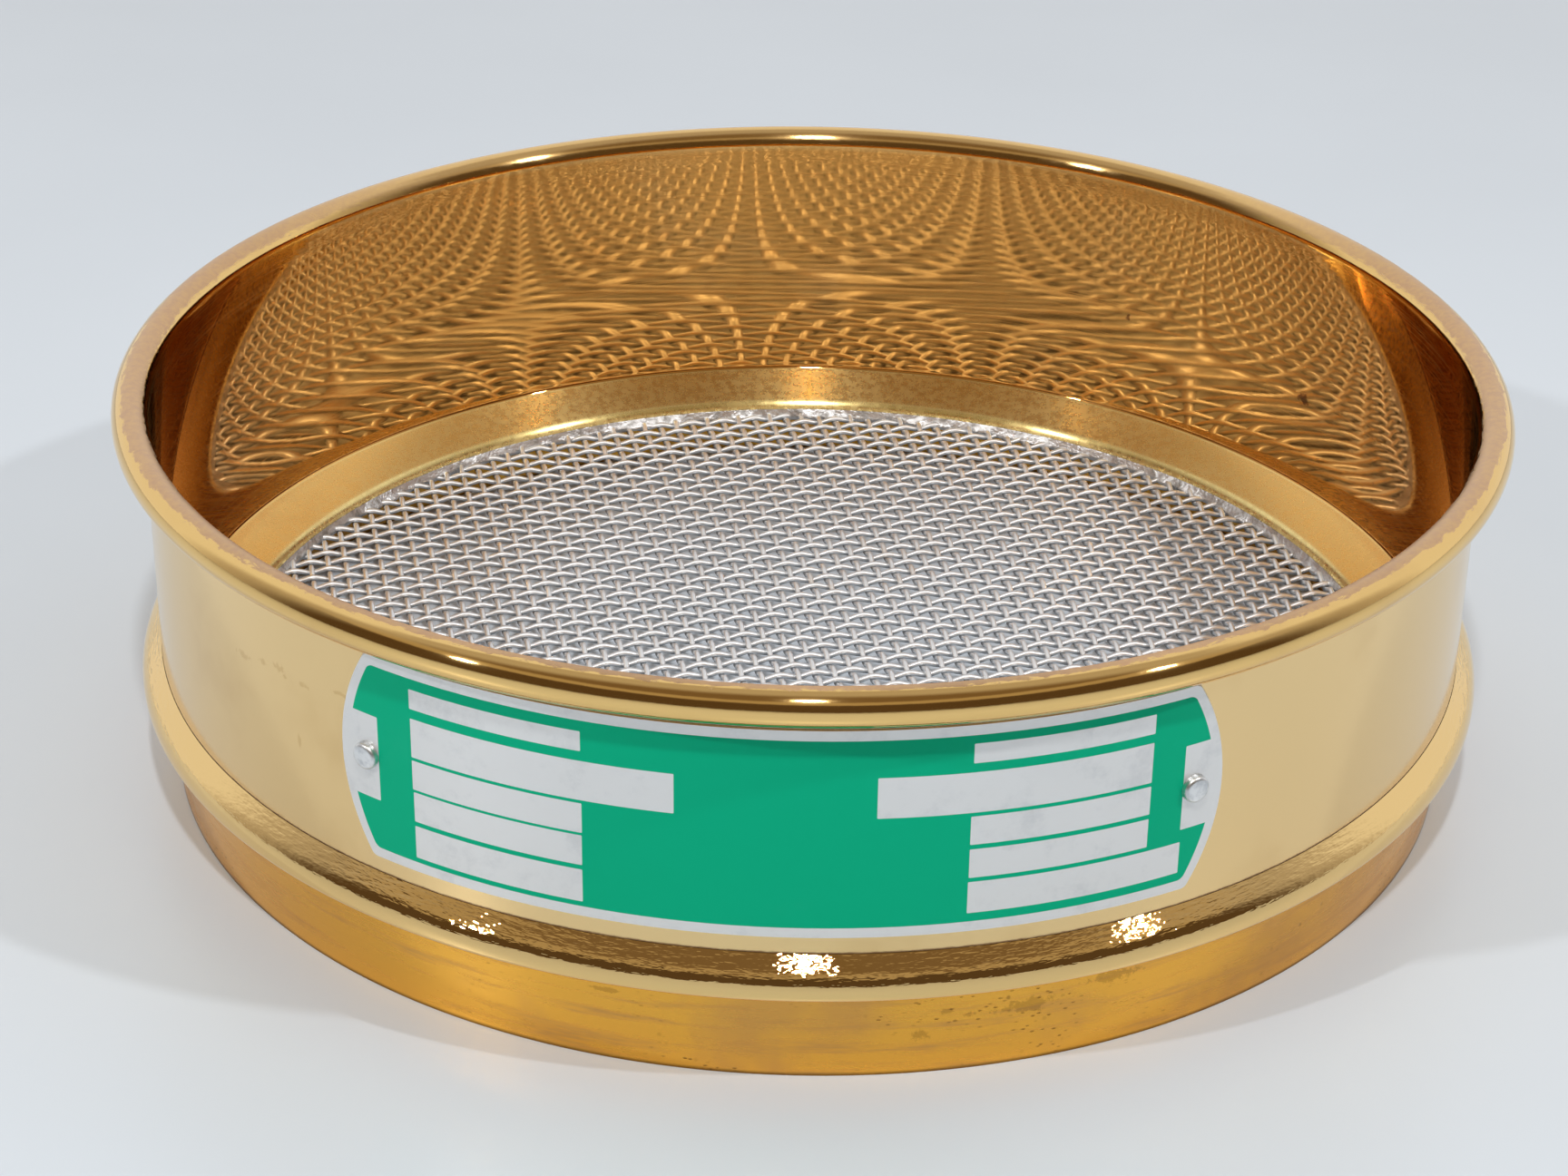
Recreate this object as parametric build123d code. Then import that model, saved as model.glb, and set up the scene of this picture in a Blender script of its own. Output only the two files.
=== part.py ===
from build123d import *
import os
from math import cos, degrees, floor, hypot, radians, sin, sqrt, tan

# Laboratory test sieve: a spun brass pan with a rolled rim and an inward ledge, a spun brass
# skirt with a beaded shoulder that nests in the sieve below, and a plain-woven stainless wire
# cloth soldered under the ledge.  Millimetres, +Z up, origin at the centre of the base circle,
# nameplate facing -Y.

# ---- sheet and frame ----
sheet = 0.8                  # brass sheet thickness after spinning
frame_bore_r = 100.0         # nominal 200 mm sieve
pan_depth = 45.9             # ledge crease up to the top of the rim
rim_tube_r = 2.7             # outer radius of the rolled rim's section
rim_curl_deg = 300.0         # how far round the rim is rolled

# ---- ledge that carries the cloth ----
ledge_width = 8.7            # frame bore to the lip's inner face
ledge_slope_deg = 21.0       # fall of the ledge towards the middle
crease_r = 0.8               # inner radius where the wall turns into the ledge
lip_r = 1.6                  # rounding of the ledge's inner edge
lip_drop = 1.5               # lip end below the ledge's inner corner

# ---- skirt ring ----
nest_clearance = 0.6         # skirt to the bore of the next sieve, on the radius
skirt_height = 13.7          # base to the turn-out under the bead
bead_proud = 3.2             # bead face outside the wall
bead_flare_rise = 1.2        # rise of the bead's underside from skirt to face
bead_face_height = 2.4       # upright face of the bead, corner to corner
bead_shoulder_deg = 46.0     # slope of the shoulder back to the wall
root_bend_r = 0.5            # turn-out at the top of the skirt
bead_foot_r = 0.95           # lower outer corner of the bead
bead_crown_r = 1.4           # upper outer corner of the bead
seat_clearance = 0.08        # ledge corner over the bead's floor
seam_clearance = 0.05        # shoulder edge to wall

# ---- wire cloth ----
aperture = 2.0               # clear opening between wires
wire_d = 0.9
wire_facets = 8              # flats standing in for a wire's round section
cloth_turn_deg = 14.8        # lie of the cloth in the frame
border_width = 4.2           # soldered border of the cloth outside the ledge bore
border_cover = 0.6           # border starts this far behind the lip's inner face
edge_wire_margin = 1.5       # outermost wire to the border's inner edge

# ---- solder ----
solder_gap = 0.3             # lip end over the cloth
solder_toe = 0.4             # fillet showing inside the lip
solder_clearance = 0.03      # solder to brass

# ---- nameplate and its rivets ----
plate_thickness = 0.5
plate_length = 125.4         # round the wall, end to end
plate_height = 31.2
plate_corner_inset = 4.9     # how much the bowed ends lose at the corners, round the wall
plate_corner_r = 1.0
plate_bottom_gap = 2.8       # plate above the bead seam
plate_clearance = 0.05       # plate to wall
rivet_inset = 4.6            # rivet centre from the plate's end, round the wall
rivet_shank_r = 1.2
rivet_head_r = 2.0
rivet_head_height = 1.1
rivet_head_edge = 0.25       # upright edge of the head under its dome
rivet_tail_r = 1.8           # peened flush into a countersink inside the wall
rivet_tail_depth = 0.4
rivet_clearance = 0.05       # shank and tail to their hole
rivet_seat_clearance = 0.02  # head to plate, and tail below the bore

# ---- worked out ----
wall_outer_r = frame_bore_r + sheet
ledge_bore_r = frame_bore_r - ledge_width
ledge_fall = tan(radians(ledge_slope_deg))
skirt_outer_r = frame_bore_r - nest_clearance
bead_outer_r = wall_outer_r + bead_proud
bead_floor_rise = bead_flare_rise / (bead_outer_r - skirt_outer_r)
bead_foot_z = skirt_height + bead_flare_rise
bead_crown_z = bead_foot_z + bead_face_height
seam_z = bead_crown_z + bead_proud * tan(radians(bead_shoulder_deg))

# The ledge's underside sits on the rounded turn-out at the top of the skirt.
root_centre_r = skirt_outer_r + root_bend_r
root_centre_z = skirt_height + root_bend_r * (bead_floor_rise - hypot(1, bead_floor_rise))
root_to_ledge = (root_bend_r + sheet + seat_clearance + sheet) / cos(radians(ledge_slope_deg))
crease_z = root_centre_z + root_to_ledge + (frame_bore_r - root_centre_r) * ledge_fall
total_height = crease_z + pan_depth
rim_centre_r = frame_bore_r + rim_tube_r
rim_centre_z = total_height - rim_tube_r
lip_corner_z = crease_z - (frame_bore_r - ledge_bore_r) * ledge_fall
lip_end_z = lip_corner_z - lip_drop

pitch = aperture + wire_d
cloth_top_z = lip_end_z - solder_gap
border_outer_r = ledge_bore_r + border_width
border_inner_r = ledge_bore_r + border_cover
half_facet_deg = 180 / wire_facets
wires_each_side = floor((border_inner_r - edge_wire_margin) / pitch)

plate_inner_r = wall_outer_r + plate_clearance
plate_outer_r = plate_inner_r + plate_thickness
plate_bottom_z = seam_z + plate_bottom_gap
plate_centre_z = plate_bottom_z + plate_height / 2
rivet_angle_deg = degrees((plate_length / 2 - rivet_inset) / plate_outer_r)


def spin(section):
    """Turn a section drawn as (radius, height) round the sieve's axis."""
    return revolve(Plane.XZ * section, Axis.Z)


def rivet_hole():
    """Clearance hole with its countersink, along +X from the bore to beyond the plate."""
    reach = plate_outer_r - frame_bore_r + 2 * sheet
    hole = Plane.YZ.offset(frame_bore_r - sheet) * Circle(rivet_shank_r + rivet_clearance)
    through = extrude(hole, reach)
    flare = Pos(frame_bore_r, 0, 0) * Rot(0, 90, 0) * Cone(
        rivet_tail_r + rivet_clearance,
        rivet_shank_r + rivet_clearance,
        rivet_tail_depth,
        align=(Align.CENTER, Align.CENTER, Align.MIN),
    )
    return through + flare


def at_rivets(shape):
    """A shape drawn along +X, copied to the left and the right rivet's place."""
    for side in (-1, 1):
        yield Rot(0, 0, -90 + side * rivet_angle_deg) * Pos(0, 0, plate_centre_z) * shape


def frame_section():
    """One sheet: rolled rim, straight wall, ledge and turned-down lip."""
    rim_centre = (rim_centre_r, rim_centre_z)
    start_deg = 180 - rim_curl_deg
    outer_curl = CenterArc(rim_centre, rim_tube_r, start_deg, rim_curl_deg)
    inner_curl = CenterArc(rim_centre, rim_tube_r - sheet, start_deg, rim_curl_deg)
    trimmed_edge = Line(outer_curl @ 0, inner_curl @ 0)
    wall_top = Line(outer_curl @ 1, inner_curl @ 1)
    rim = make_face([outer_curl, wall_top, inner_curl, trimmed_edge])
    show_face = FilletPolyline(
        (frame_bore_r, rim_centre_z),
        (frame_bore_r, crease_z),
        (ledge_bore_r, lip_corner_z),
        (ledge_bore_r, lip_end_z),
        radius=[crease_r, lip_r],
    )
    wall_and_ledge = make_face(offset(Wire(show_face.edges()), sheet, side=Side.LEFT).edges())
    return rim + wall_and_ledge


def upper_frame():
    pan = spin(frame_section())
    for hole in at_rivets(rivet_hole()):
        pan -= hole
    return pan


def skirt_ring():
    """One sheet: straight skirt, turned out under the bead and back up to the wall."""
    run_past = 2 * sheet
    show_face = FilletPolyline(
        (skirt_outer_r, 0),
        (skirt_outer_r, skirt_height),
        (bead_outer_r, bead_foot_z),
        (bead_outer_r, bead_crown_z),
        (wall_outer_r - run_past, seam_z + run_past * tan(radians(bead_shoulder_deg))),
        radius=[root_bend_r, bead_foot_r, bead_crown_r],
    )
    section = make_face(offset(Wire(show_face.edges()), sheet, side=Side.LEFT).edges())
    # The shoulder's edge is trimmed to lie against the wall.
    trim = Pos(0, 0, bead_crown_z) * Cylinder(
        wall_outer_r + seam_clearance, total_height, align=(Align.CENTER, Align.CENTER, Align.MIN)
    )
    return spin(section) - trim


def wire_layer():
    """One set of parallel wires at the pitch, bound into one piece by its soldered border."""
    border = Circle(border_outer_r) - Circle(border_inner_r)
    reach = (border_inner_r + border_outer_r) / 2
    flats = RegularPolygon(wire_d / 2, wire_facets, major_radius=False)
    wire_section = Plane.YZ * Rot(0, 0, half_facet_deg) * flats
    wires = []
    for count in range(-wires_each_side, wires_each_side + 1):
        across = count * pitch
        half_length = sqrt(reach**2 - across**2)
        wires.append(Pos(0, across, wire_d / 2) * extrude(wire_section, half_length, both=True))
    return extrude(border, wire_d) + wires


def solder_ring():
    """Solder between the cloth's border and the ledge, with a thin fillet inside the lip."""
    toe_r = ledge_bore_r - solder_toe
    under_ledge = Polyline(
        (toe_r, cloth_top_z),
        (border_outer_r, cloth_top_z),
        (border_outer_r, lip_corner_z + (border_outer_r - ledge_bore_r) * ledge_fall - sheet / 2),
        (ledge_bore_r + sheet / 2, lip_corner_z - sheet / 2),
        (ledge_bore_r + sheet / 2, lip_end_z + sheet / 2),
        (ledge_bore_r, lip_end_z + sheet / 2),
        close=True,
    )
    brass = offset(frame_section(), solder_clearance)
    return spin(make_face(under_ledge) - brass)


def nameplate():
    """Thin plate with bowed ends, rolled to the wall."""
    half_length = plate_outer_r * sin(plate_length / 2 / plate_outer_r)
    corner_x = plate_outer_r * sin((plate_length / 2 - plate_corner_inset) / plate_outer_r)
    top = plate_height / 2
    right_end = ThreePointArc((corner_x, -top), (half_length, 0), (corner_x, top))
    left_end = ThreePointArc((-corner_x, top), (-half_length, 0), (-corner_x, -top))
    upper_edge = Line((corner_x, top), (-corner_x, top))
    lower_edge = Line((-corner_x, -top), (corner_x, -top))
    outline = make_face([right_end, upper_edge, left_end, lower_edge])
    outline = fillet(outline.vertices(), plate_corner_r)
    blank = Pos(0, 0, plate_centre_z) * extrude(Plane.XZ * outline, plate_outer_r + sheet)
    rolled = Circle(plate_outer_r) - Circle(plate_inner_r)
    plate = blank & extrude(rolled, total_height)
    for hole in at_rivets(rivet_hole()):
        plate -= hole
    return plate


def rivet():
    """Domed head, shank and flush countersunk tail, drawn along +X from the sieve's axis."""
    seat = plate_outer_r + rivet_seat_clearance
    tail_end = frame_bore_r + rivet_seat_clearance
    base_out = (Align.CENTER, Align.CENTER, Align.MIN)
    dome_rise = rivet_head_height - rivet_head_edge
    dome_r = (rivet_head_r**2 + dome_rise**2) / (2 * dome_rise)
    head = Cylinder(rivet_head_r, rivet_head_height, align=base_out)
    head &= Pos(0, 0, rivet_head_height - dome_r) * Sphere(dome_r)
    shank = Cylinder(rivet_shank_r, seat - tail_end, align=base_out)
    tail = Cone(rivet_tail_r, rivet_shank_r, rivet_tail_depth, align=base_out)
    outwards = Rot(0, 90, 0)
    return Pos(seat, 0, 0) * outwards * head + Pos(tail_end, 0, 0) * outwards * (shank + tail)


rivet_left, rivet_right = at_rivets(rivet())
weft = Pos(0, 0, cloth_top_z - wire_d) * Rot(0, 0, cloth_turn_deg) * wire_layer()
warp = Pos(0, 0, -wire_d) * Rot(0, 0, 90) * weft

parts = {
    "upper_frame": upper_frame(),
    "skirt_ring": skirt_ring(),
    "warp_wires": warp,
    "weft_wires": weft,
    "solder_ring": solder_ring(),
    "nameplate": nameplate(),
    "rivet_left": rivet_left,
    "rivet_right": rivet_right,
}

os.makedirs("parts", exist_ok=True)
for name, shape in parts.items():
    export_step(shape, f"parts/{name}.step")
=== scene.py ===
import math

import bpy
from mathutils import Matrix, Vector, noise


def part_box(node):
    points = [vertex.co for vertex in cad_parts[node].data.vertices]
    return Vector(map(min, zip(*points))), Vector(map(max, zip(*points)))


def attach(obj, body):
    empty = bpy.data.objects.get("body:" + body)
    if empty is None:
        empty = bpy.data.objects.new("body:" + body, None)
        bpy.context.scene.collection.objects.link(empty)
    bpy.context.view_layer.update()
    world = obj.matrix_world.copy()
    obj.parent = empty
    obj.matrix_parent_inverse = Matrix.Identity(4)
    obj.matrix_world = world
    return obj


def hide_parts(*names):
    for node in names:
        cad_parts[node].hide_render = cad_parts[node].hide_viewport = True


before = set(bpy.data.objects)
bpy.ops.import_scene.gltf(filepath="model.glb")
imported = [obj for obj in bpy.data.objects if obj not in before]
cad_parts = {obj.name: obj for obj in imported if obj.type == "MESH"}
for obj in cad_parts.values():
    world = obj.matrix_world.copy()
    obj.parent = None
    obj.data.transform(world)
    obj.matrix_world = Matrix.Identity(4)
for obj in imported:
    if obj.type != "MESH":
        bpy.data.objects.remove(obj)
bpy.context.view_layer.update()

bl_info = {
    "name": "Laboratory test sieve",
    "version": (1, 0, 0),
    "blender": (4, 5, 0),
    "location": "View3D > Sidebar > Sieve",
    "description": "Builds the spun brass pan, skirt, wire cloth, solder and nameplate of a test sieve",
    "category": "Add Mesh",
}

MM = 0.001
TO_MM = 1000.0
# Points nearer than this are one point.
WELD = 0.002 * MM

frame_low, frame_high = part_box("upper_frame")
skirt_low, skirt_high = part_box("skirt_ring")
weft_low, weft_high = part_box("weft_wires")
warp_low, warp_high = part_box("warp_wires")
solder_low, solder_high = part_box("solder_ring")
plate_low, plate_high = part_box("nameplate")


# How far the nameplate's ends bow in at its corners, in millimetres.
PLATE_BOW = 4.9
# Bare boxes in the print: left and right end round the wall, low and high side from the plate's middle.
LABEL_BOXES = (
    (-50.45, -25.1, 9.55, 12.5),
    (-50.4, -12.65, 2.2, 8.1),
    (-50.4, -25.05, -2.75, 1.72),
    (-50.3, -25.1, -7.7, -3.15),
    (-50.3, -25.1, -13.35, -8.4),
    (25.95, 51.3, 9.95, 12.85),
    (13.6, 51.25, 2.55, 8.6),
    (25.9, 51.25, -2.3, 1.98),
    (25.9, 51.2, -7.35, -3.0),
    (25.85, 56.45, -12.8, -8.0),
    (-66.0, -56.1, -6.5, 6.35),  # the two tabs under the rivets
    (56.35, 66.0, -6.1, 6.75),
)
# Tan marks outside, in millimetres: place round the wall from the front, height, length and width.
WALL_MARKS = (
    (-84.2, 43.6, 2.4, 0.6),
    (-79.5, 44.6, 1.5, 0.6),
    (-75.6, 45.2, 1.3, 1.0),
    (-74.6, 44.4, 0.9, 0.5),
    (-70.4, 44.7, 1.4, 0.5),
    (-62.5, 46.2, 3.0, 0.4),
    (-72.0, 35.5, 0.5, 1.6),
)
# Brown pits and stains on the skirt, in the same way.
SKIRT_MARKS = (
    (20.5, 6.2, 1.5, 1.3),
    (47.4, 10.8, 5.0, 1.2),
    (35.1, 8.8, 5.5, 1.4),
    (-22.6, 11.0, 2.6, 0.5),
    (23.7, 9.6, 1.2, 0.6),
    (26.5, 8.7, 1.3, 0.5),
    (-64.0, 11.2, 1.6, 0.4),
)
# Brown spots inside, in the same way.
BORE_SPOTS = (
    (218.9, 31.5, 1.5, 1.2),
    (259.1, 34.3, 0.8, 0.7),
)
# Object coordinates to millimetres to the right and to the back.
RIGHTWARDS = (TO_MM, 0.0, 0.0)
BACKWARDS = (0.0, TO_MM, 0.0)

# The solder's free edge on the cloth: how far inside the ledge's lip, and height over the cloth's middle.
SOLDER_EDGE = (
    (0.4 * MM, 0.75 * MM),
    (0.6 * MM, 0.45 * MM),
    (0.75 * MM, 0.1 * MM),
    (0.6 * MM, -0.25 * MM),
    (0.3 * MM, -0.55 * MM),
)

# The camera: place before its turn round the axis in metres, and its angles in radians.
CAMERA_SPOT = (0.0, -0.465149, 0.265570)
CAMERA_TURN = math.radians(2.45)
CAMERA_ELEVATION = 0.4826
CAMERA_PAN = -0.0085
CAMERA_ROLL = 0.0136
# Each lamp's name, place in metres and power in watts.
LAMPS = (
    ("lamp_middle", (0.03, -0.55, 0.88), 3.0),
    ("lamp_right", (0.83, -0.34, 0.96), 3.8),
    ("lamp_left", (-0.92, -0.64, 0.90), 4.6),
)
# The room's light from each side.
LOW_ROOM = (0.10, 0.066, 0.036, 1.0)
HIGH_ROOM = (0.44, 0.36, 0.24, 1.0)
CEILING = (0.20, 0.14, 0.08, 1.0)
BEHIND = (0.50, 0.47, 0.44, 1.0)
BACK_WALL = (0.86, 0.87, 0.89, 1.0)
BACKDROP = (0.80, 0.83, 0.86, 1.0)


# ---- what a user can change ----


def length(name, text, value):
    """A size in metres, shown in the scene's length unit."""
    return bpy.props.FloatProperty(name=name, description=text, default=value, unit="LENGTH", precision=5)


def angle(name, text, degrees):
    return bpy.props.FloatProperty(
        name=name, description=text, default=math.radians(degrees), subtype="ANGLE", unit="ROTATION"
    )


def colour(name, text, value):
    return bpy.props.FloatVectorProperty(
        name=name, description=text, default=value, size=3, min=0.0, max=1.0, subtype="COLOR"
    )


class SievePanSettings(bpy.types.PropertyGroup):
    sheet: length("Sheet", "Thickness of the brass sheet", 0.8 * MM)
    bore_radius: length("Bore radius", "Inside radius of the straight wall", 100.0 * MM)
    rim_radius: length("Rim radius", "Outer radius of the rolled rim's section", 2.7 * MM)
    rim_curl: angle("Rim curl", "How far round the rim is rolled", 300.0)
    ledge_radius: length("Ledge radius", "Clear radius inside the ledge's lip", 91.3 * MM)
    ledge_slope: angle("Ledge slope", "Fall of the ledge towards the middle", 21.0)
    crease_radius: length("Crease radius", "Rounding where the wall turns into the ledge", 0.8 * MM)
    lip_radius: length("Lip radius", "Rounding of the ledge's inner edge", 1.6 * MM)
    lip_drop: length("Lip drop", "Depth of the turned-down lip", 1.5 * MM)
    steps: bpy.props.IntProperty(name="Steps", description="Faces round the axis", default=384, min=64)
    brass: colour("Brass", "Clean polished brass outside", (0.90, 0.65, 0.32))
    amber: colour("Amber", "Deeper brass inside the pan and on the ledge", (0.77, 0.385, 0.095))
    gold: colour("Rim", "Deeper polished brass of the rolled rim", (0.87, 0.58, 0.22))
    ledge_brass: colour("Ledge", "Satin brass of the ledge", (0.96, 0.77, 0.33))
    worn: colour("Worn rim", "Dull brass where the rim is handled", (0.62, 0.38, 0.22))
    stain: colour("Stain", "Tan stains on the wall", (0.62, 0.38, 0.15))
    # Also the colour of the painted shade just above the seam outside.
    dark_stain_and_seam_shade: colour("Dark stain", "Brown spots inside", (0.16, 0.05, 0.02))


class SieveSkirtSettings(bpy.types.PropertyGroup):
    skirt_radius: length("Skirt radius", "Outside radius of the straight skirt", 99.4 * MM)
    skirt_height: length("Skirt height", "Base to the turn-out under the bead", 13.7 * MM)
    foot_rise: length("Foot rise", "Rise of the bead's underside", 1.2 * MM)
    face_height: length("Face height", "Upright face of the bead", 2.87 * MM)
    root_radius: length("Root radius", "Turn-out at the top of the skirt", 0.5 * MM)
    foot_radius: length("Foot radius", "Lower outer corner of the bead", 0.95 * MM)
    crown_radius: length("Crown radius", "Upper outer corner of the bead", 3.6 * MM)
    seam_gap: length("Seam gap", "Shoulder edge to wall", 0.05 * MM)
    brass: colour("Brass", "Polished brass of the bead", (0.88, 0.61, 0.26))
    tarnish: colour("Tarnish", "Ochre tarnish on the skirt", (0.92, 0.48, 0.075))
    brown: colour("Brown", "Brown streaks in the tarnish", (0.66, 0.34, 0.10))
    # Also the colour of the painted shade along the skirt's foot.
    pit: colour("Pits", "Dark pits and stains", (0.10, 0.045, 0.015))


class SieveClothSettings(bpy.types.PropertyGroup):
    aperture: length("Aperture", "Clear opening between wires", 2.0 * MM)
    wire: length("Wire", "Wire diameter", 0.9 * MM)
    turn: angle("Turn", "Lie of the cloth in the frame", 14.8)
    weft_crimp: bpy.props.FloatProperty(
        name="Weft crimp",
        description="Weft's share of the crimp; the warp takes the rest",
        default=0.36,
        min=0.0,
        max=1.0,
    )
    wire_sides: bpy.props.IntProperty(name="Sides", description="Faces round a wire", default=6, min=5)
    crimp_steps: bpy.props.IntProperty(name="Crimp steps", description="Faces along one pitch", default=4)
    steel: colour("Steel", "Bright stainless wire", (0.91, 0.94, 0.97))
    shade: colour("Shade", "Duller steel", (0.74, 0.77, 0.80))
    # Painted shade: the dark colour put on the wires low down where they cross.
    painted_crevice_shade: colour("Deep", "Dark steel low between the wires", (0.16, 0.165, 0.17))
    tint: colour("Tint", "Tan tint on the wire", (0.74, 0.58, 0.42))
    solder_spread: length("Solder spread", "How far the solder runs on to the wires", 1.1 * MM)
    solder: colour("Solder", "Dull tin solder", (0.70, 0.70, 0.71))
    solder_dark: colour("Dark solder", "Grey flux marks in the solder", (0.34, 0.33, 0.32))


class SievePlateSettings(bpy.types.PropertyGroup):
    border: length("Border", "Bare margin round the printed field", 1.5 * MM)
    corner: length("Corner", "Rounding of the printed field's corners", 0.7 * MM)
    box_corner: length("Box corner", "Rounding of the bare boxes' corners", 0.15 * MM)
    head_radius: length("Rivet radius", "Radius of a rivet's head", 2.0 * MM)
    head_height: length("Rivet height", "Height of a rivet's head", 1.1 * MM)
    head_edge: length("Rivet edge", "Rounding of a rivet's head", 0.6 * MM)
    seat_gap: length("Rivet seat", "Gap between a rivet's head and the plate", 0.02 * MM)
    green: colour("Green", "Printed field", (0.002, 0.50, 0.27))
    scuff: colour("Scuff", "Rubbed places in the print", (0.04, 0.54, 0.33))
    metal: colour("Aluminium", "Bare satin aluminium", (0.84, 0.85, 0.85))
    grime: colour("Grime", "Grey handling marks on the bare metal", (0.62, 0.64, 0.66))


class SieveStageSettings(bpy.types.PropertyGroup):
    table: colour("Table", "Pale table top", (0.71, 0.785, 0.87))
    lamp_width: length("Lamp width", "Diameter of each lamp's disc", 0.05)
    lens: bpy.props.FloatProperty(name="Lens", description="Focal length in millimetres", default=76.39)


# ---- making meshes ----


def deselect():
    if bpy.context.object and bpy.context.object.mode != "OBJECT":
        bpy.ops.object.mode_set(mode="OBJECT")
    bpy.ops.object.select_all(action="DESELECT")


def named(name):
    piece = bpy.context.object
    piece.name = name
    piece.data.name = name
    return piece


def arc(centre, radius, start, end, steps):
    """Points (radius, height) round a centre, both ends included."""
    for step in range(steps + 1):
        turn = start + (end - start) * step / steps
        yield Vector((centre[0] + radius * math.cos(turn), centre[1] + radius * math.sin(turn)))


def rounded(corners, radii, step_angle=math.radians(8), guard=0.35 * MM):
    """A line through the corners with its inner corners rounded.

    A guard point before and after each round, where there is room, keeps the shading of straight stretches true.
    """
    turns = [
        (corner - before).normalized().angle_signed((after - corner).normalized())
        for before, corner, after in zip(corners, corners[1:], corners[2:])
    ]
    cuts = [0.0, *(radius * math.tan(abs(turn) / 2) for radius, turn in zip(radii, turns)), 0.0]
    points = [corners[0]]
    for n, (turn, radius) in enumerate(zip(turns, radii), 1):
        before, corner, after = corners[n - 1 : n + 2]
        into = (corner - before).normalized()
        out = (after - corner).normalized()
        side = Vector((-into.y, into.x)) * (-1 if turn > 0 else 1)
        centre = corner - into * cuts[n] + side * radius
        start = math.atan2(-side.y, -side.x)
        if (corner - before).length > cuts[n - 1] + cuts[n] + 3 * guard:
            points.append(corner - into * (cuts[n] + guard))
        points.extend(arc(centre, radius, start, start - turn, max(3, round(abs(turn) / step_angle))))
        if (after - corner).length > cuts[n] + cuts[n + 1] + 3 * guard:
            points.append(corner + out * (cuts[n] + guard))
    points.append(corners[-1])
    return points


def spin(name, section, steps, closed=False):
    """The section drawn as a line and turned round the axis; it stays in edit mode with all selected."""
    deselect()
    bpy.ops.mesh.primitive_plane_add(size=MM, location=(section[0].x, 0, section[0].y))
    piece = named(name)
    bpy.ops.object.transform_apply(location=True, rotation=True, scale=True)
    bpy.ops.object.mode_set(mode="EDIT")
    bpy.ops.mesh.select_all(action="SELECT")
    bpy.ops.mesh.merge(type="CENTER")
    for here, there in zip(section, section[1:] + section[:1] if closed else section[1:]):
        move = there - here
        bpy.ops.mesh.extrude_vertices_move(TRANSFORM_OT_translate={"value": (move.x, 0, move.y)})
    bpy.ops.mesh.select_all(action="SELECT")
    if closed:
        bpy.ops.mesh.remove_doubles(threshold=WELD)
    bpy.ops.mesh.spin(steps=steps, angle=2 * math.pi, center=(0, 0, 0), axis=(0, 0, 1))
    bpy.ops.mesh.select_all(action="SELECT")
    bpy.ops.mesh.remove_doubles(threshold=WELD)
    return piece


def face_outwards():
    """Recalculates the normals of all that is selected and leaves edit mode."""
    bpy.ops.mesh.normals_make_consistent(inside=False)
    bpy.ops.object.mode_set(mode="OBJECT")


def smooth(degrees):
    bpy.ops.object.shade_smooth_by_angle(angle=math.radians(degrees))


def spin_sheet(name, section, thickness, steps):
    """A sheet whose visible face is the section turned round the axis."""
    piece = spin(name, section, steps)
    face_outwards()
    first = min(piece.data.polygons, key=lambda face: (face.center.xz - section[0]).length)
    away = Vector((section[1].y - section[0].y, section[0].x - section[1].x))
    if first.normal.xz.dot(away) < 0:
        bpy.ops.object.mode_set(mode="EDIT")
        bpy.ops.mesh.select_all(action="SELECT")
        bpy.ops.mesh.flip_normals()
        bpy.ops.object.mode_set(mode="OBJECT")
    wall = piece.modifiers.new("Sheet", "SOLIDIFY")
    wall.thickness = thickness
    wall.offset = -1
    wall.use_even_offset = True
    bpy.ops.object.modifier_apply(modifier=wall.name)
    smooth(50)
    return piece


def spin_solid(name, section, steps):
    """A ring whose closed section is turned round the axis."""
    piece = spin(name, section, steps, closed=True)
    face_outwards()
    smooth(60)
    return piece


def spin_cap(name, section, steps):
    """A closed cap whose section runs from its rim on the floor to the axis."""
    piece = spin(name, section, steps)
    bpy.ops.mesh.fill_holes(sides=steps)
    bpy.ops.mesh.select_all(action="SELECT")
    face_outwards()
    smooth(50)
    return piece


def pick(piece, chosen):
    """Selects the vertices whose place passes the test, in edit mode."""
    bpy.ops.object.mode_set(mode="EDIT")
    bpy.ops.mesh.select_mode(type="VERT")
    bpy.ops.mesh.select_all(action="DESELECT")
    bpy.ops.object.mode_set(mode="OBJECT")
    for vertex in piece.data.vertices:
        vertex.select = chosen(vertex.co)
    bpy.ops.object.mode_set(mode="EDIT")


# ---- shader helpers ----


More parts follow.
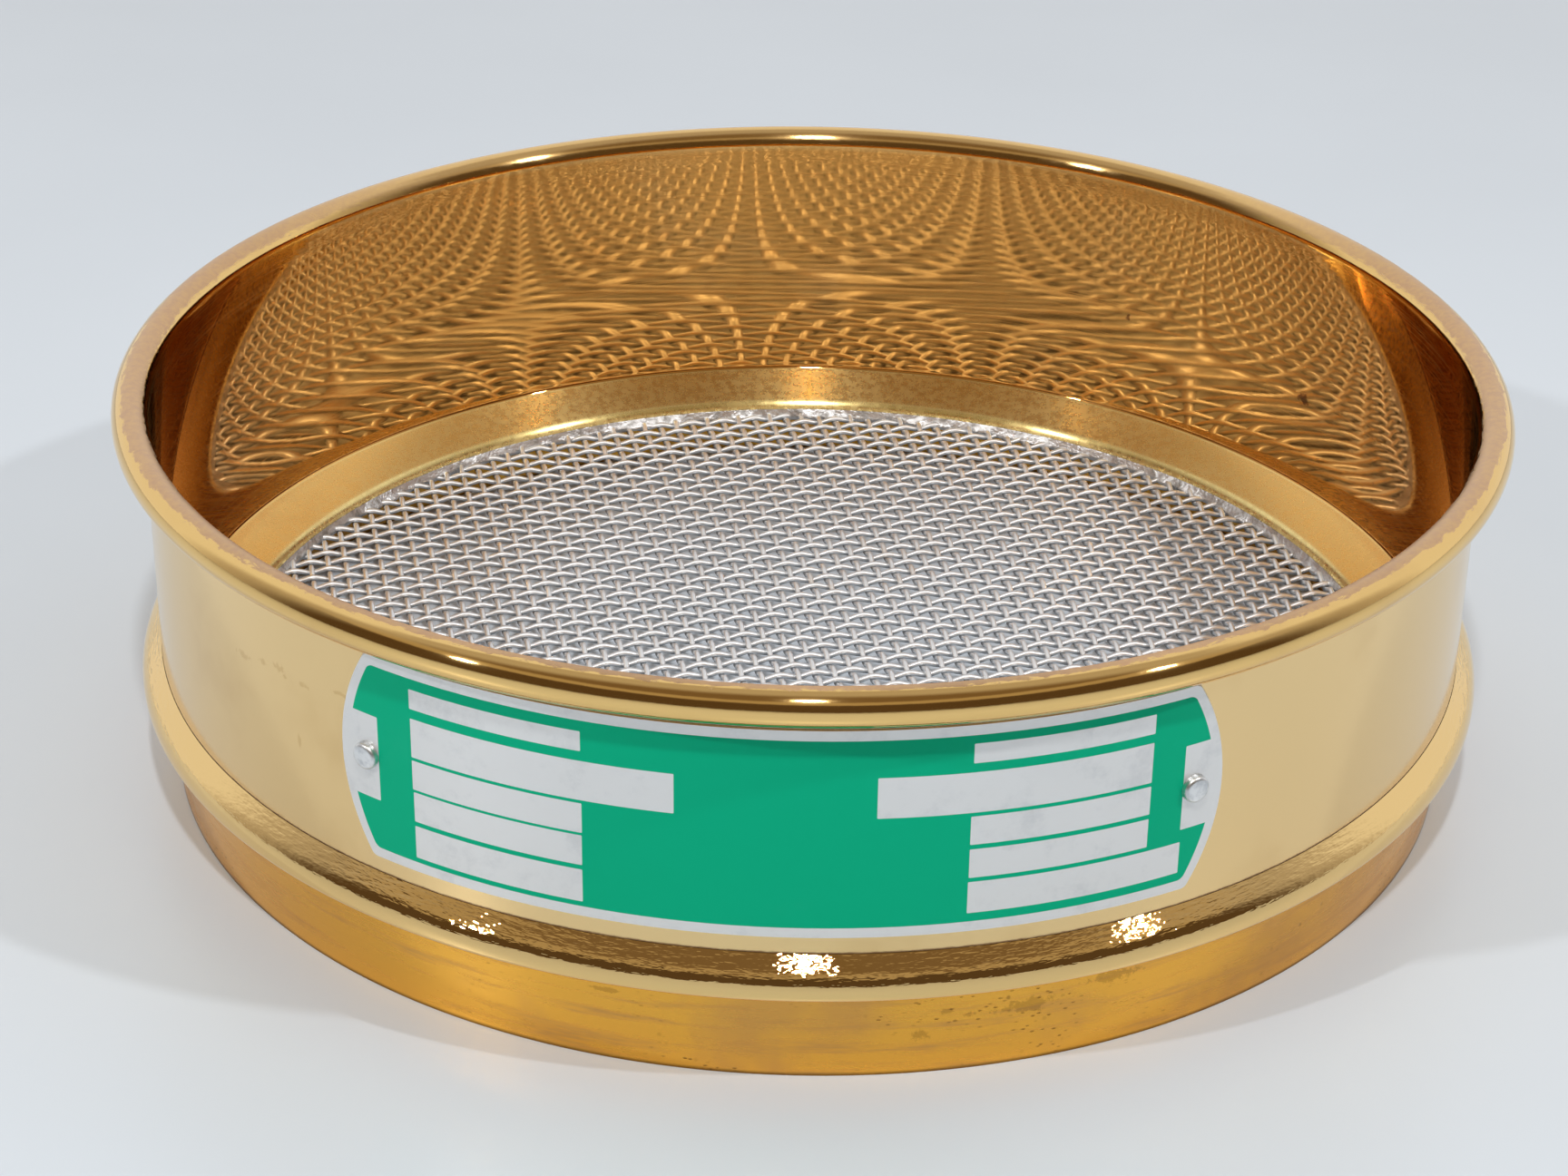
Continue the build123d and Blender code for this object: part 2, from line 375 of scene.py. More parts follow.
class Shader:
    """Short calls for adding and joining nodes."""

    def __init__(self, tree):
        self.tree = tree

    def add(self, kind, **values):
        node = self.tree.nodes.new(kind)
        for key, value in values.items():
            setattr(node, key, value)
        return node

    def put(self, socket, value):
        if isinstance(value, bpy.types.NodeSocket):
            self.tree.links.new(value, socket)
        elif value is not None:
            socket.default_value = value

    def maths(self, operation, first, second=None):
        node = self.add("ShaderNodeMath", operation=operation)
        for socket, value in zip(node.inputs, (first, second)):
            self.put(socket, value)
        return node.outputs[0]

    def times(self, first, *others):
        for other in others:
            first = self.maths("MULTIPLY", first, other)
        return first

    def plus(self, first, second):
        return self.maths("ADD", first, second)

    def minus(self, first, second):
        return self.maths("SUBTRACT", first, second)

    def vector(self, operation, first, second=None):
        node = self.add("ShaderNodeVectorMath", operation=operation)
        self.put(node.inputs[0], first)
        self.put(node.inputs[1], second)
        return node.outputs["Value" if operation in ("LENGTH", "DOT_PRODUCT") else "Vector"]

    def ramp(self, value, low, high, start=0.0, end=1.0):
        node = self.add("ShaderNodeMapRange", interpolation_type="SMOOTHSTEP")
        for name, what in zip(("Value", "From Min", "From Max", "To Min", "To Max"), (value, low, high, start, end)):
            self.put(node.inputs[name], what)
        return node.outputs["Result"]

    def mix(self, factor, first, second):
        node = self.add("ShaderNodeMix", data_type="RGBA")
        for name, what in zip(("Factor_Float", "A_Color", "B_Color"), (factor, first, second)):
            socket = next(s for s in node.inputs if s.identifier == name)
            self.put(socket, what)
        return next(s for s in node.outputs if s.identifier == "Result_Color")

    def noise(self, place, scale, detail=3.0, rough=0.5):
        node = self.add("ShaderNodeTexNoise")
        self.put(node.inputs["Vector"], place)
        node.inputs["Scale"].default_value = scale
        node.inputs["Detail"].default_value = detail
        node.inputs["Roughness"].default_value = rough
        return node.outputs["Fac"]

    def cells(self, place, scale):
        """Distance to the middle of the nearest cell."""
        node = self.add("ShaderNodeTexVoronoi")
        self.put(node.inputs["Vector"], place)
        node.inputs["Scale"].default_value = scale
        return node.outputs["Distance"]

    def stretched(self, place, scale):
        return self.vector("MULTIPLY", place, scale)

    def spots(self, round_way, places, ragged):
        """Ragged ovals on the wall, each given by its middle and its two widths."""
        found = 0.0
        for along, level, long, wide in places:
            away = self.vector("SUBTRACT", round_way, (along, level, 0.0))
            away = self.vector("MULTIPLY", away, (1.6 / long, 1.6 / wide, 0.0))
            reach = self.plus(self.vector("LENGTH", away), self.times(ragged, 4.5))
            found = self.maths("MAXIMUM", found, self.ramp(reach, 0.7, 1.4, 1.0, 0.0))
        return found


def new_group(name, inputs, outputs):
    tree = bpy.data.node_groups.new(name, "ShaderNodeTree")
    for label, kind in inputs:
        tree.interface.new_socket(label, in_out="INPUT", socket_type=kind)
    for label, kind in outputs:
        tree.interface.new_socket(label, in_out="OUTPUT", socket_type=kind)
    shader = Shader(tree)
    entry = shader.add("NodeGroupInput")
    end = shader.add("NodeGroupOutput")
    return tree, shader, entry.outputs, end.inputs


def group_in(shader, tree, **values):
    node = shader.add("ShaderNodeGroup", node_tree=tree)
    for label, value in values.items():
        shader.put(node.inputs[label.replace("_", " ")], value)
    return node.outputs


def new_material(name, metallic=1.0):
    material = bpy.data.materials.new(name)
    material.use_nodes = True
    shader = Shader(material.node_tree)
    surface = material.node_tree.nodes["Principled BSDF"]
    surface.inputs["Metallic"].default_value = metallic
    return material, shader, surface


def dress(piece, material):
    piece.data.materials.clear()
    piece.data.materials.append(material)


def rgba(value):
    return (*value, 1.0)


# ---- node groups ----


def polar_group():
    """Object coordinates to distance round the wall, height and radius, in millimetres."""
    tree, shader, given, out = new_group(
        "Round the axis",
        [("Vector", "NodeSocketVector")],
        [("Round", "NodeSocketVector"), ("Radius", "NodeSocketFloat"), ("Height", "NodeSocketFloat")],
    )
    split = shader.add("ShaderNodeSeparateXYZ")
    shader.put(split.inputs[0], given["Vector"])
    x, y, z = split.outputs
    radius = shader.vector("LENGTH", shader.vector("MULTIPLY", given["Vector"], (TO_MM, TO_MM, 0.0)))
    height = shader.times(z, TO_MM)
    turn = shader.maths("ARCTAN2", x, shader.times(y, -1.0))
    join = shader.add("ShaderNodeCombineXYZ")
    shader.put(join.inputs[0], shader.times(turn, radius))
    shader.put(join.inputs[1], height)
    shader.put(join.inputs[2], radius)
    shader.put(out["Round"], join.outputs[0])
    shader.put(out["Radius"], radius)
    shader.put(out["Height"], height)
    return tree


def stains_group():
    """Blotches, fine specks and scratches that run round the spun sheet."""
    tree, shader, given, out = new_group(
        "Spun sheet wear",
        [("Vector", "NodeSocketVector"), ("Round", "NodeSocketVector")],
        [("Blotch", "NodeSocketFloat"), ("Specks", "NodeSocketFloat"), ("Lines", "NodeSocketFloat")],
    )
    blotch = shader.noise(given["Vector"], 38.0, 4.0, 0.6)
    shader.put(out["Blotch"], shader.ramp(blotch, 0.52, 0.74))
    speck = shader.ramp(shader.cells(given["Vector"], 420.0), 0.06, 0.2, 1.0, 0.0)
    where = shader.ramp(shader.noise(given["Vector"], 55.0, 2.0), 0.5, 0.7)
    shader.put(out["Specks"], shader.times(speck, where))
    lines = shader.noise(shader.stretched(given["Round"], (0.012, 9.0, 9.0)), 1.0, 3.0, 0.65)
    shader.put(out["Lines"], lines)
    return tree


def label_box_group():
    """1 inside a rounded box on the wall, 0 outside; sizes in millimetres."""
    tree, shader, given, out = new_group(
        "Label box",
        [
            (name, "NodeSocketFloat")
            for name in ("Along", "Height", "Middle", "Level", "Half length", "Half height", "Corner")
        ],
        [("Inside", "NodeSocketFloat")],
    )
    across = shader.maths("ABSOLUTE", shader.minus(given["Along"], given["Middle"]))
    up = shader.maths("ABSOLUTE", shader.minus(given["Height"], given["Level"]))
    across = shader.minus(across, shader.minus(given["Half length"], given["Corner"]))
    up = shader.minus(up, shader.minus(given["Half height"], given["Corner"]))
    across = shader.maths("MAXIMUM", across, 0.0)
    up = shader.maths("MAXIMUM", up, 0.0)
    squares = shader.plus(shader.maths("POWER", across, 2.0), shader.maths("POWER", up, 2.0))
    out_by = shader.minus(shader.maths("SQRT", squares), given["Corner"])
    shader.put(out["Inside"], shader.ramp(out_by, -0.04, 0.04, 1.0, 0.0))
    return tree


def label_box(shader, along, height, middle, level, half_length, half_height, corner):
    node = shader.add("ShaderNodeGroup", node_tree=bpy.data.node_groups["Label box"])
    for socket, value in zip(node.inputs, (along, height, middle, level, half_length, half_height, corner)):
        shader.put(socket, value)
    return node.outputs["Inside"]


# ---- pieces ----


class SieveOperator:
    bl_options = {"REGISTER", "UNDO"}


class SIEVE_OT_pan(SieveOperator, bpy.types.Operator):
    """Spin the pan: rolled rim, straight wall, sloping ledge and turned-down lip"""

    bl_idname = "sieve.pan"
    bl_label = "Brass pan"

    def execute(self, context):
        size = context.scene.sieve_pan
        top = frame_high.z
        rim_centre = Vector((size.bore_radius + size.rim_radius, top - size.rim_radius))
        lip_end = frame_low.z
        lip_corner = lip_end + size.lip_drop
        crease = lip_corner + (size.bore_radius - size.ledge_radius) * math.tan(size.ledge_slope)
        curl = list(arc(rim_centre, size.rim_radius, math.pi - size.rim_curl, math.pi, 50))
        corners = [
            Vector((size.bore_radius, rim_centre.y - 0.35 * MM)),
            Vector((size.bore_radius, crease)),
            Vector((size.ledge_radius, lip_corner)),
            Vector((size.ledge_radius, lip_end)),
        ]
        wall = rounded(corners, [size.crease_radius, size.lip_radius])
        pan = spin_sheet("brass_pan", curl + wall, size.sheet, size.steps)
        dress(pan, pan_material(size))
        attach(pan, "root")
        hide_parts("upper_frame")
        return {"FINISHED"}


class SIEVE_OT_skirt(SieveOperator, bpy.types.Operator):
    """Spin the skirt: straight nesting skirt, bead and sloping shoulder"""

    bl_idname = "sieve.skirt"
    bl_label = "Skirt ring"

    def execute(self, context):
        pan = context.scene.sieve_pan
        size = context.scene.sieve_skirt
        seam_r = pan.bore_radius + pan.sheet + size.seam_gap
        foot_z = size.skirt_height + size.foot_rise
        corners = [
            Vector((size.skirt_radius, skirt_low.z)),
            Vector((size.skirt_radius, size.skirt_height)),
            Vector((skirt_high.x, foot_z)),
            Vector((skirt_high.x, foot_z + size.face_height)),
            Vector((seam_r, skirt_high.z)),
        ]
        outline = rounded(corners, [size.root_radius, size.foot_radius, size.crown_radius])
        skirt = spin_sheet("skirt_and_bead", outline, pan.sheet, pan.steps)
        shoulder_z = foot_z + size.face_height
        pick(skirt, lambda place: place.z > shoulder_z and place.xy.length < seam_r - 0.01 * MM)
        grow = seam_r / (seam_r - pan.sheet * math.sin(math.atan2(skirt_high.z - shoulder_z, skirt_high.x - seam_r)))
        bpy.ops.transform.resize(value=(grow, grow, 1), center_override=(0, 0, 0))
        bpy.ops.object.mode_set(mode="OBJECT")
        dress(skirt, skirt_material(size))
        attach(skirt, "root")
        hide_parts("skirt_ring")
        return {"FINISHED"}


class SIEVE_OT_cloth(SieveOperator, bpy.types.Operator):
    """Weave the wire cloth: two sets of crimped wires that pass over and under each other"""

    bl_idname = "sieve.cloth"
    bl_label = "Wire cloth"

    def execute(self, context):
        size = context.scene.sieve_cloth
        middle = (weft_low.z + warp_high.z) / 2
        reach = weft_high.x - 0.6 * MM
        for name, node, turn, over, tinted in (
            ("weft_cloth", "weft_wires", size.turn, size.weft_crimp, 0.1),
            ("warp_cloth", "warp_wires", size.turn + math.pi / 2, size.weft_crimp - 1, 0.4),
        ):
            cloth = self.wires(size, name, reach, over)
            bpy.ops.object.mode_set(mode="EDIT")
            bpy.ops.mesh.select_all(action="SELECT")
            bpy.ops.transform.translate(value=(0, 0, middle))
            bpy.ops.object.mode_set(mode="OBJECT")
            cloth.data.transform(Matrix.Rotation(turn, 4, "Z"))
            dress(cloth, wire_material(size, "Wire of " + name, tinted))
            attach(cloth, "root")
            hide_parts(node)
        return {"FINISHED"}

    def wires(self, size, name, reach, over):
        """One set of wires along X, cut to a round; over is the height of a crimp in wire diameters."""
        pitch = size.aperture + size.wire
        step = pitch / size.crimp_steps
        deselect()
        bpy.ops.mesh.primitive_circle_add(
            vertices=size.wire_sides, radius=size.wire / 2, rotation=(0, math.pi / 2, 0)
        )
        cloth = named(name)
        bpy.ops.object.transform_apply(location=True, rotation=True, scale=True)
        bpy.ops.object.mode_set(mode="EDIT")
        bpy.ops.mesh.select_all(action="SELECT")
        crimp = [
            over * size.wire * math.cos(math.pi * n / size.crimp_steps) for n in range(2 * size.crimp_steps + 1)
        ]
        bpy.ops.transform.translate(value=(0, 0, crimp[0]))
        for here, there in zip(crimp, crimp[1:]):
            bpy.ops.mesh.extrude_region_move(TRANSFORM_OT_translate={"value": (step, 0, there - here)})
        # The neighbour starts one pitch further on, so that it goes under where this one goes over.
        bpy.ops.mesh.select_all(action="SELECT")
        bpy.ops.mesh.duplicate_move(TRANSFORM_OT_translate={"value": (-pitch, pitch, 0)})
        bpy.ops.object.mode_set(mode="OBJECT")
        half = math.ceil(reach / pitch / 2) + 1
        for label, offset in (("Along", (2 * pitch, 0, 0)), ("Across", (0, 2 * pitch, 0))):
            array = cloth.modifiers.new(label, "ARRAY")
            array.count = 2 * half
            array.use_relative_offset = False
            array.use_constant_offset = True
            array.constant_offset_displace = offset
            array.use_merge_vertices = label == "Along"
            array.merge_threshold = 0.02 * MM
            bpy.ops.object.modifier_apply(modifier=array.name)
        bpy.ops.object.mode_set(mode="EDIT")
        bpy.ops.mesh.select_all(action="SELECT")
        bpy.ops.transform.translate(value=(-2 * half * pitch, -2 * half * pitch, 0))
        bpy.ops.object.mode_set(mode="OBJECT")
        outermost = pitch * math.floor((weft_high.y - 4.2 * MM) / pitch) + size.wire
        # Whole rings of a wire are cut away, so that each end is one flat disc.
        pick(
            cloth,
            lambda place: math.hypot(step * round(place.x / step), pitch * round(place.y / pitch)) > reach
            or abs(place.y) > outermost,
        )
        bpy.ops.mesh.delete(type="VERT")
        bpy.ops.mesh.select_all(action="SELECT")
        bpy.ops.mesh.fill_holes(sides=size.wire_sides)
        bpy.ops.mesh.select_all(action="SELECT")
        face_outwards()
        smooth(70)
        return cloth


class SIEVE_OT_solder(SieveOperator, bpy.types.Operator):
    """Run the solder between the cloth and the ledge, with an uneven toe on the wires"""

    bl_idname = "sieve.solder"
    bl_label = "Solder"

    def execute(self, context):
        pan = context.scene.sieve_pan
        size = context.scene.sieve_cloth
        fall = math.tan(pan.ledge_slope)
        lip_outer = pan.ledge_radius + pan.sheet
        outer = solder_high.x
        under_ledge = solder_high.z - 0.05 * MM
        cloth_middle = (weft_low.z + warp_high.z) / 2
        lip = pan.ledge_radius
        section = [
            Vector((outer, warp_low.z + 0.15 * MM)),
            Vector((outer, under_ledge)),
            Vector((lip_outer + 0.05 * MM, under_ledge - (outer - lip_outer) * fall)),
            Vector((lip_outer + 0.05 * MM, frame_low.z - 0.02 * MM)),
            Vector((lip - 0.02 * MM, frame_low.z - 0.02 * MM)),
            Vector((lip - 0.03 * MM, frame_low.z + 0.35 * MM)),
            Vector((lip - 0.2 * MM, frame_low.z + 0.05 * MM)),
            *(Vector((lip - inwards, cloth_middle + up)) for inwards, up in SOLDER_EDGE),
        ]
        ring = spin_solid("solder_seam", section, 2 * pan.steps)
        for vertex in ring.data.vertices:
            radius = vertex.co.xy.length
            toe = min(1.0, max(0.0, (lip - 0.1 * MM - radius) / (0.9 * MM)))
            spread = noise.noise(vertex.co * 90) + 0.6 * noise.noise(vertex.co * 330)
            reach = toe * size.solder_spread * max(-0.3, 1.6 * spread - 0.1)
            vertex.co.xy *= (radius - reach) / radius
        dress(ring, solder_material(size))
        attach(ring, "root")
        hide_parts("solder_ring")
        return {"FINISHED"}


class SIEVE_OT_nameplate(SieveOperator, bpy.types.Operator):
    """Finish the nameplate and its rivets"""

    bl_idname = "sieve.nameplate"
    bl_label = "Nameplate and rivets"

    def execute(self, context):
        size = context.scene.sieve_plate
        dress(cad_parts["nameplate"], plate_material(size))
        metal = rivet_material(size)
        for name in ("rivet_left", "rivet_right"):
            low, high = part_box(name)
            head = self.head(size, name.replace("rivet", "rivet_head"))
            turn = math.atan2((low.x + high.x) / 2, -(low.y + high.y) / 2)
            seat = size.seat_gap - plate_low.y
            place = Matrix.Rotation(turn, 4, "Z") @ Matrix.Translation((0, -seat, (low.z + high.z) / 2))
            head.data.transform(place @ Matrix.Rotation(math.pi / 2, 4, "X"))
            dress(head, metal)
            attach(head, "root")
            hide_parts(name)
        return {"FINISHED"}

    def head(self, size, name):
        """A low head with a rounded edge, standing on the XY plane."""
        foot = Vector((size.head_radius, 0.0))
        brow = Vector((size.head_radius - 0.1 * MM, size.head_height - 0.12 * MM))
        crown = Vector((0.0, size.head_height))
        return spin_cap(name, rounded([foot, brow, crown], [size.head_edge]), 48)


# ---- materials ----


def place_nodes(shader):
    """Object coordinates, with the way round, radius and height in millimetres."""
    place = shader.add("ShaderNodeTexCoord").outputs["Object"]
    polar = group_in(shader, bpy.data.node_groups["Round the axis"], Vector=place)
    return place, polar["Round"], polar["Radius"], polar["Height"]


def sheet_wear(shader, place, round_way):
    return group_in(shader, bpy.data.node_groups["Spun sheet wear"], Vector=place, Round=round_way)


def bump(shader, surface, height, distance):
    node = shader.add("ShaderNodeBump")
    node.inputs["Strength"].default_value = 1.0
    node.inputs["Distance"].default_value = distance
    shader.put(node.inputs["Height"], height)
    shader.put(surface.inputs["Normal"], node.outputs["Normal"])


def pan_material(size):
    """Bright brass outside, amber inside, with a worn band along the top of the rim."""
    material, shader, surface = new_material("Polished brass")
    place, round_way, radius, height = place_nodes(shader)
    wear = sheet_wear(shader, place, round_way)
    bore = size.bore_radius * TO_MM
    rim_z = (frame_high.z - size.rim_radius) * TO_MM
    rim_r = bore + size.rim_radius * TO_MM
    crease_z = (frame_low.z + size.lip_drop) * TO_MM + (bore - size.ledge_radius * TO_MM) * math.tan(size.ledge_slope)
    inside = shader.times(
        shader.ramp(radius, bore, bore + 0.5, 1.0, 0.0),
        shader.ramp(height, rim_z - 1.0, rim_z + 0.6, 1.0, 0.0),
    )
    ledge = shader.times(
        shader.ramp(radius, bore - 0.5, bore - 0.1, 1.0, 0.0),
        shader.ramp(height, crease_z, crease_z + 0.6, 1.0, 0.0),
    )
    # Angle round the rim's section in radians: 0 outside, half pi on top, pi on the bore side.
    section_turn = shader.maths("ARCTAN2", shader.minus(height, rim_z), shader.minus(radius, rim_r))
    ragged = shader.noise(shader.stretched(round_way, (0.35, 1.2, 1.2)), 1.0, 4.0, 0.7)
    edge = shader.plus(section_turn, shader.times(shader.minus(ragged, 0.5), 1.1))
    # The worn band is wider at the sides, where hands lift the sieve.
    across = shader.maths("ABSOLUTE", shader.vector("DOT_PRODUCT", place, RIGHTWARDS))
    edge = shader.plus(edge, shader.ramp(across, 0.55 * bore, 0.95 * bore, 0.0, 0.28))
    band = shader.times(shader.ramp(edge, 1.36, 1.48), shader.ramp(edge, 2.6, 2.9, 1.0, 0.0))
    above = shader.ramp(height, rim_z + 0.4, rim_z + 0.9)
    back = shader.ramp(shader.vector("DOT_PRODUCT", place, BACKWARDS), 0.35 * bore, 0.85 * bore, 1.0, 0.25)
    worn = shader.times(band, above, back)
    rim = shader.ramp(height, rim_z - 3.4, rim_z - 2.6)

    base = shader.mix(rim, rgba(size.brass), rgba(size.gold))
    base = shader.mix(inside, base, rgba(size.amber))
    base = shader.mix(ledge, base, rgba(size.ledge_brass))
    fine_rag = shader.minus(shader.noise(place, 900.0, 3.0, 0.7), 0.5)
    base = shader.mix(shader.times(wear["Blotch"], 0.25), base, rgba(size.stain))
    outer = shader.minus(1.0, inside)
    marks = shader.times(shader.spots(round_way, WALL_MARKS, fine_rag), outer)
    base = shader.mix(shader.times(marks, 0.4), base, rgba(size.stain))
    base = shader.mix(shader.times(worn, shader.ramp(fine_rag, -0.2, 0.2, 0.65, 0.95)), base, rgba(size.worn))
    seam = skirt_high.z * TO_MM
    # Painted shade in the crease where the bead's shoulder meets the wall: a ragged dark band just above the seam.
    grime = shader.ramp(shader.plus(height, shader.times(ragged, 0.5)), seam + 0.35, seam + 0.6, 1.0, 0.0)
    base = shader.mix(shader.times(grime, outer, 0.8), base, rgba(size.dark_stain_and_seam_shade))
    # Fine specks inside, on the right only.
    right = shader.ramp(shader.vector("DOT_PRODUCT", place, RIGHTWARDS), 0.80 * bore, 0.93 * bore)
    specks = shader.times(wear["Specks"], inside, right)
    spots = shader.times(shader.spots(round_way, BORE_SPOTS, fine_rag), inside)
    spots = shader.maths("MAXIMUM", specks, spots)
    base = shader.mix(shader.times(spots, 0.8), base, rgba(size.dark_stain_and_seam_shade))
    shader.put(surface.inputs["Base Color"], base)

    # Fine turning lines throw part of each reflection up and down.
    lines = shader.ramp(wear["Lines"], 0.57, 0.65, 0.0, 0.34)
    rough = shader.mix(inside, rgba((0.115,) * 3), rgba((0.028,) * 3))
    rough = shader.plus(rough, shader.times(lines, shader.minus(inside, ledge)))
    rough = shader.minus(rough, shader.times(rim, outer, 0.045))
    grain = shader.noise(place, 700.0, 4.0, 0.7)
    satin = shader.ramp(grain, 0.3, 0.7, 0.2, 0.3)
    rough = shader.plus(rough, shader.times(ledge, satin))
    rough = shader.plus(rough, shader.times(worn, 0.26))
    shader.put(surface.inputs["Roughness"], rough)
    surface.inputs["Anisotropic"].default_value = 0.9
    surface.inputs["Anisotropic Rotation"].default_value = 0.25

    ripple = shader.noise(shader.stretched(round_way, (0.03, 0.22, 0.22)), 1.0, 3.0, 0.55)
    hammer = shader.noise(shader.stretched(round_way, (0.5, 1.4, 1.4)), 1.0, 2.0, 0.5)
    relief = shader.times(ripple, shader.ramp(inside, 0.0, 1.0, 0.4, 0.11))
    for pattern, where, depth in ((grain, ledge, 0.05), (hammer, rim, 0.14), (ragged, worn, 0.3)):
        relief = shader.plus(relief, shader.times(pattern, where, depth))
    bump(shader, surface, relief, 0.05 * MM)
    return material


def skirt_material(size):
    """Polished bead with a dented shoulder over a skirt tarnished to ochre."""
    material, shader, surface = new_material("Tarnished brass")
    place, round_way, _, height = place_nodes(shader)
    wear = sheet_wear(shader, place, round_way)
    skirt_top = size.skirt_height * TO_MM
    crown = (size.skirt_height + size.foot_rise + size.face_height) * TO_MM
    low = shader.ramp(height, skirt_top - 0.2, skirt_top + 0.5, 1.0, 0.0)
    shoulder = shader.ramp(height, crown - 0.9, crown + 0.3)

    streak = shader.noise(shader.stretched(round_way, (0.05, 0.6, 0.6)), 1.0, 5.0, 0.65)
    cloud = shader.noise(place, 34.0, 4.0, 0.6)
    tarnish = shader.mix(shader.ramp(streak, 0.48, 0.78), rgba(size.tarnish), rgba(size.brown))
    tarnish = shader.mix(shader.times(shader.ramp(cloud, 0.52, 0.72), 0.7), tarnish, rgba(size.brown))
    across = shader.maths("ABSOLUTE", shader.vector("DOT_PRODUCT", place, RIGHTWARDS))
    tarnish = shader.mix(shader.ramp(across, 45.0, 90.0, 0.0, 0.55), tarnish, rgba(size.brown))
    base = shader.mix(low, rgba(size.brass), tarnish)
    rows = shader.cells(shader.stretched(round_way, (0.55, 1.5, 1.5)), 1.0)
    pit = shader.ramp(rows, 0.10, 0.26, 1.0, 0.0)
    pit = shader.times(pit, shader.ramp(shader.noise(place, 60.0, 2.0), 0.52, 0.66))
    pits = shader.times(shader.maths("MAXIMUM", pit, wear["Specks"]), low)
    ragged = shader.minus(shader.noise(place, 900.0, 3.0, 0.7), 0.5)
    marks = shader.times(shader.spots(round_way, SKIRT_MARKS, ragged), low)
    base = shader.mix(shader.times(pits, 0.45), base, rgba(size.pit))
    base = shader.mix(shader.times(marks, 0.3), base, rgba(size.pit))
    # Painted shade along the foot where the skirt stands on the table: the lowest 0.7 mm are darkened.
    foot = shader.times(shader.ramp(height, 0.1, 0.7, 1.0, 0.0), 0.75)
    base = shader.mix(foot, base, rgba(size.pit))
    shader.put(surface.inputs["Base Color"], base)

    satin = shader.ramp(streak, 0.3, 0.7, 0.20, 0.32)
    rough = shader.plus(0.08, shader.times(low, shader.minus(satin, 0.08)))
    rough = shader.minus(rough, shader.times(shoulder, 0.06))
    shader.put(surface.inputs["Roughness"], rough)

    dents = shader.noise(shader.stretched(round_way, (0.4, 1.7, 1.7)), 1.0, 2.0, 0.6)
    relief = shader.plus(shader.times(dents, shoulder, 0.8), shader.times(streak, low, 0.25))
    bump(shader, surface, shader.minus(relief, shader.times(pits, 0.4)), 0.10 * MM)
    return material


def wire_material(size, name, tinted):
    """Bright drawn steel with painted shade low down where the wires cross, and tan patches."""
    material, shader, surface = new_material(name)
    place, _, _, height = place_nodes(shader)
    patches = shader.ramp(shader.noise(place, 30.0, 2.0), 0.5, 0.72)
    local = shader.ramp(shader.noise(place, 260.0, 2.0), 0.5, 0.68)
    tint = shader.times(patches, local, tinted)
    grain = shader.noise(place, 1500.0, 3.0)
    steel = shader.mix(shader.ramp(grain, 0.35, 0.7, 0.0, 0.3), rgba(size.steel), rgba(size.shade))
    steel = shader.mix(tint, steel, rgba(size.tint))
    middle = (weft_low.z + warp_high.z) / 2 * TO_MM
    # Painted shade: below the cloth's middle the wires are darkened where they cross.
    low = shader.ramp(height, middle - 0.55, middle + 0.2, 0.8, 0.0)
    shader.put(surface.inputs["Base Color"], shader.mix(low, steel, rgba(size.painted_crevice_shade)))
    shader.put(surface.inputs["Roughness"], shader.ramp(grain, 0.3, 0.7, 0.44, 0.56))
    return material


def solder_material(size):
    material, shader, surface = new_material("Solder")
    place, _, _, _ = place_nodes(shader)
    shade = shader.noise(place, 420.0, 4.0, 0.65)
    dull = shader.ramp(shade, 0.48, 0.72)
    shader.put(surface.inputs["Base Color"], shader.mix(dull, rgba(size.solder), rgba(size.solder_dark)))
    shader.put(surface.inputs["Roughness"], shader.ramp(dull, 0.0, 1.0, 0.38, 0.55))
    bump(shader, surface, shade, 0.5 * MM)
    return material


